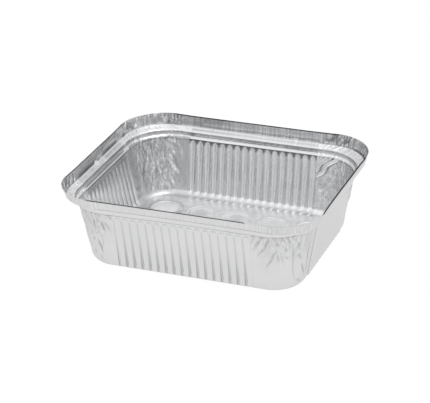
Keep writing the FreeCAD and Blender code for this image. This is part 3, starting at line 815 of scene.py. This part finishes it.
# ------------------------------------------------------------------ materials
def foil(name, light, dark, rough_lo, rough_hi, lines_lo, lines_hi):
    """Rolled aluminium; light and dark are the base colours that the sheet drifts between."""
    mat = bpy.data.materials.new(name)
    mat.use_nodes = True
    nt = mat.node_tree
    bsdf = nt.nodes["Principled BSDF"]

    def node(kind, **values):
        n = nt.nodes.new(kind)
        for k, v in values.items():
            setattr(n, k, v)
        return n

    def link(a, b):
        nt.links.new(a, b)

    def sheet_noise(scale, detail, rough=0.5, distortion=0.0):
        """Noise on the flattened sheet; scale is (round, down) in cycles per mm."""
        mapping = node("ShaderNodeMapping")
        mapping.inputs["Scale"].default_value = (scale[0], scale[1], 1.0)
        link(uv.outputs["UV"], mapping.inputs["Vector"])
        n = node("ShaderNodeTexNoise", noise_dimensions="2D")
        n.inputs["Scale"].default_value = 1.0
        n.inputs["Detail"].default_value = detail
        n.inputs["Roughness"].default_value = rough
        n.inputs["Distortion"].default_value = distortion
        link(mapping.outputs["Vector"], n.inputs["Vector"])
        return n.outputs["Fac"]

    def ramp_value(source, lo, hi, out_lo, out_hi):
        n = node("ShaderNodeMapRange")
        n.inputs["From Min"].default_value, n.inputs["From Max"].default_value = lo, hi
        n.inputs["To Min"].default_value, n.inputs["To Max"].default_value = out_lo, out_hi
        link(source, n.inputs["Value"])
        return n.outputs["Result"]

    def math_node(op, a, b):
        n = node("ShaderNodeMath", operation=op)
        for k, v in enumerate((a, b)):
            if isinstance(v, (int, float)):
                n.inputs[k].default_value = v
            else:
                link(v, n.inputs[k])
        return n.outputs[0]

    def bump(height, strength, distance, before=None):
        n = node("ShaderNodeBump")
        n.inputs["Strength"].default_value = strength
        n.inputs["Distance"].default_value = distance
        link(height, n.inputs["Height"])
        if before is not None:
            link(before, n.inputs["Normal"])
        return n.outputs["Normal"]

    def blend(kind, factor, a, b):
        n = node("ShaderNodeMix", data_type="RGBA", blend_type=kind)
        for socket, v in (("Factor", factor), (6, a), (7, b)):
            if isinstance(v, (int, float, tuple)):
                n.inputs[socket].default_value = v
            else:
                link(v, n.inputs[socket])
        return n.outputs[2]

    uv = node("ShaderNodeUVMap", uv_map="sheet_mm")
    place = node("ShaderNodeSeparateXYZ")
    link(uv.outputs["UV"], place.inputs[0])
    rim = ramp_value(place.outputs["Y"], 7.0, 11.0, 1.0, 0.12)      # drawing lines are strongest on the rim
    gather = node("ShaderNodeAttribute", attribute_name="gather").outputs["Fac"]
    painted_edge_shade = node("ShaderNodeAttribute", attribute_name="painted_edge_shade").outputs["Fac"]
    painted_light = node("ShaderNodeAttribute", attribute_name="painted_light").outputs["Fac"]

    brushed = sheet_noise((2.6, 0.05), 3.0, 0.6)          # fine drawing lines down the section
    broad = sheet_noise((0.05, 0.07), 2.0)                # slow change over the sheet
    drawn = sheet_noise((0.85, 0.025), 2.0, 0.6)          # broader lines of the same kind
    grain = sheet_noise((3.2, 3.2), 2.0, 0.6)             # rolled grain
    crinkle = sheet_noise((0.75, 0.33), 3.0, 0.62, 0.6)   # small folds where the foil is gathered
    creased = sheet_noise((0.46, 0.13), 2.0, 0.55, 0.8)   # thin fold lines between them, as bumps and as painted shade

    tone = blend("MIX", ramp_value(broad, 0.3, 0.7, 0.0, 1.0), dark, light)
    tone = blend("MULTIPLY", 1.0, tone, math_node("ADD", 1.0, math_node("MULTIPLY", rim, ramp_value(brushed, 0.3, 0.7, -0.15, 0.08))))
    tone = blend("MULTIPLY", 1.0, tone, math_node("ADD", 1.0, math_node("MULTIPLY", ramp_value(place.outputs["Y"], 5.9, 6.9, 1.0, 0.12), ramp_value(drawn, 0.3, 0.7, lines_lo, lines_hi))))
    # painted shade: thin dark lines along the creases of the gathered foil, from the same noise as the crease bumps
    painted_crease_shade = math_node("ABSOLUTE", math_node("SUBTRACT", creased, 0.5), 0.0)
    painted_crease_shade = math_node("MULTIPLY", ramp_value(painted_crease_shade, 0.0, 0.030, 0.42, 0.0), gather)
    painted_shade = math_node("MULTIPLY", math_node("ADD", ramp_value(painted_light, 0.0, 1.0, 0.0, 0.95), painted_crease_shade), ramp_value(grain, 0.3, 0.7, 0.85, 1.1))
    # painted shade: the colour is pulled towards near-black where the painted_light mark is above 0 and along the
    # painted crease lines
    tone = blend("MIX", painted_shade, tone, (0.16, 0.163, 0.17, 1))
    # painted highlight: the colour goes towards bright metal where the painted_light mark is below 0
    tone = blend("MIX", ramp_value(painted_light, 0.0, -0.6, 0.0, 0.9), tone, (0.97, 0.97, 0.975, 1))
    # painted shade: the band along the cut edge goes near-black
    tone = blend("MIX", ramp_value(painted_edge_shade, 0.25, 0.9, 0.0, 0.98), tone, (0.045, 0.046, 0.05, 1))
    link(tone, bsdf.inputs["Base Color"])
    bsdf.inputs["Metallic"].default_value = 1.0
    bsdf.inputs["Specular Tint"].default_value = (0.84, 0.84, 0.84, 1)

    rough = math_node("ADD", ramp_value(broad, 0.3, 0.7, rough_lo, rough_hi), ramp_value(grain, 0.3, 0.7, -0.012, 0.015))
    rough = math_node("ADD", rough, math_node("MULTIPLY", gather, 0.05))
    rough = math_node("ADD", rough, ramp_value(painted_edge_shade, 0.25, 1.2, 0.0, 0.55))
    rough = math_node("ADD", rough, ramp_value(painted_light, -0.05, -0.7, 0.0, 0.22))
    rough = math_node("ADD", rough, ramp_value(place.outputs["Y"], 12.0, 15.0, 0.0, 0.03))
    rough = math_node("ADD", rough, ramp_value(place.outputs["Y"], 43.5, 45.5, 0.0, 0.15))
    link(rough, bsdf.inputs["Roughness"])

    normal = bump(broad, 0.5, 0.00010)
    normal = bump(math_node("MULTIPLY", brushed, rim), 0.9, 0.000018, normal)
    normal = bump(math_node("MULTIPLY", crinkle, gather), 1.0, 0.00030, normal)
    normal = bump(math_node("MULTIPLY", ramp_value(math_node("ABSOLUTE", math_node("SUBTRACT", creased, 0.5), 0.0), 0.0, 0.09, 0.0, 1.0), gather), 1.0, 0.00016, normal)
    normal = bump(grain, 0.4, 0.000005, normal)
    link(normal, bsdf.inputs["Normal"])
    return mat


# the outside is the satin side of the foil, the food side the bright one; the outside's darker base colour is partly
# painted shade, for the dimmer floor it reflects
mesh.materials.append(foil("foil_outside", (0.695, 0.696, 0.697, 1), (0.668, 0.670, 0.675, 1), 0.15, 0.22, -0.03, 0.02))
mesh.materials.append(foil("foil_food_side", (0.895, 0.898, 0.902, 1), (0.850, 0.855, 0.863, 1), 0.09, 0.14, -0.22, 0.14))
which = np.zeros(len(mesh.polygons), np.int32)
which[len(faces):2 * len(faces)] = 1
mesh.polygons.foreach_set("material_index", which)

floor_mesh = bpy.data.meshes.new("studio_floor")
q = 12.0
floor_mesh.from_pydata([(-q, -q, 0), (q, -q, 0), (q, q, 0), (-q, q, 0)], [], [(0, 1, 2, 3)])
floor = bpy.data.objects.new("studio_floor", floor_mesh)
floor.location.z = -0.00005
bpy.context.scene.collection.objects.link(floor)
fm = bpy.data.materials.new("studio_floor")
fm.use_nodes = True
fb = fm.node_tree.nodes["Principled BSDF"]
fb.inputs["Base Color"].default_value = (0.10, 0.10, 0.10, 1)
fb.inputs["Roughness"].default_value = 0.9
fb.inputs["Specular IOR Level"].default_value = 0.0
fb.inputs["Emission Color"].default_value = (1, 1, 1, 1)
fb.inputs["Emission Strength"].default_value = 0.93
# the lit part of the floor ends towards the camera's side of the room
fn_ = fm.node_tree
f_tc = fn_.nodes.new("ShaderNodeTexCoord")
f_sep = fn_.nodes.new("ShaderNodeSeparateXYZ")
f_fall = fn_.nodes.new("ShaderNodeMapRange")
f_fall.interpolation_type = "SMOOTHSTEP"
f_fall.inputs["From Min"].default_value, f_fall.inputs["From Max"].default_value = -0.75, -0.24
f_fall.inputs["To Min"].default_value, f_fall.inputs["To Max"].default_value = 0.42, 0.93
fn_.links.new(f_tc.outputs["Object"], f_sep.inputs[0])
fn_.links.new(f_sep.outputs["Y"], f_fall.inputs["Value"])
fn_.links.new(f_fall.outputs["Result"], fb.inputs["Emission Strength"])
floor_mesh.materials.append(fm)

# ------------------------------------------------------------------ light
scene = bpy.context.scene
scene.view_settings.view_transform = "Standard"
world = bpy.data.worlds.new("studio")
scene.world = world
world.use_nodes = True
wn = world.node_tree
bg = wn.nodes["Background"]
tc = wn.nodes.new("ShaderNodeTexCoord")
sep = wn.nodes.new("ShaderNodeSeparateXYZ")
wn.links.new(tc.outputs["Generated"], sep.inputs[0])


def sky_ramp(stops):
    """Brightness by height above the horizon."""
    ramp = wn.nodes.new("ShaderNodeValToRGB")
    wn.links.new(sep.outputs["Z"], ramp.inputs[0])
    cr = ramp.color_ramp
    while len(cr.elements) < len(stops):
        cr.elements.new(0.5)
    for e, (p, v) in zip(cr.elements, stops):
        e.position, e.color = p, (v, v, v * 1.01, 1)
    return ramp


# a pale sweep behind the tray, a dimmer room on the camera's side
near = sky_ramp([(0.0, 0.40), (0.22, 0.40), (0.36, 0.95), (0.5, 1.2), (0.8, 0.95), (0.94, 0.85), (1.0, 0.88)])
far = sky_ramp([(0.0, 1.15), (0.12, 1.25), (0.3, 1.1), (0.5, 0.60), (0.75, 0.75), (0.94, 0.85), (1.0, 0.88)])
side_mix = wn.nodes.new("ShaderNodeMapRange")
side_mix.interpolation_type = "SMOOTHSTEP"
side_mix.inputs["From Min"].default_value = -0.45
side_mix.inputs["From Max"].default_value = 0.45
wn.links.new(sep.outputs["Y"], side_mix.inputs["Value"])
mix = wn.nodes.new("ShaderNodeMix")
mix.data_type = "RGBA"
wn.links.new(side_mix.outputs["Result"], mix.inputs["Factor"])
wn.links.new(near.outputs[0], mix.inputs[6])
wn.links.new(far.outputs[0], mix.inputs[7])
wn.links.new(mix.outputs[2], bg.inputs["Color"])
bg.inputs["Strength"].default_value = 1.0


def softbox(name, loc, target, size, radiance):
    light = bpy.data.lights.new(name, "AREA")
    light.shape = "RECTANGLE"
    light.size, light.size_y = size
    light.energy = radiance * math.pi * size[0] * size[1]
    o = bpy.data.objects.new(name, light)
    o.location = loc
    o.rotation_mode = "QUATERNION"
    o.rotation_quaternion = (Vector(target) - Vector(loc)).to_track_quat("-Z", "Y")
    scene.collection.objects.link(o)
    return o


softbox("top_softbox", (0.40, 0.10, 1.5), (0, 0, 0), (0.8, 0.8), 1.8)

# ------------------------------------------------------------------ camera
AZ, EL, ROLL = math.radians(22.47), math.radians(25.99), math.radians(-2.02)
DIST, F_PX, TX, TY = 0.99335, 1831.78, -0.00170, 0.00129
back = Vector((math.sin(AZ) * math.cos(EL), -math.cos(AZ) * math.cos(EL), math.sin(EL)))
right = Vector((math.cos(AZ), math.sin(AZ), 0))
up = back.cross(right)
cam_data = bpy.data.cameras.new("camera")
cam_data.sensor_width = 36.0
cam_data.lens = F_PX * 36.0 / 430.0
cam = bpy.data.objects.new("camera", cam_data)
scene.collection.objects.link(cam)
cam.location = Vector((0, 0, 0.022)) + right * TX + up * TY + back * DIST
r_c = right * math.cos(ROLL) + up * math.sin(ROLL)
u_c = up * math.cos(ROLL) - right * math.sin(ROLL)
cam.rotation_mode = "QUATERNION"
cam.rotation_quaternion = Matrix((r_c, u_c, back)).transposed().to_quaternion()
cam_data.clip_start, cam_data.clip_end = 0.05, 50.0
scene.camera = cam
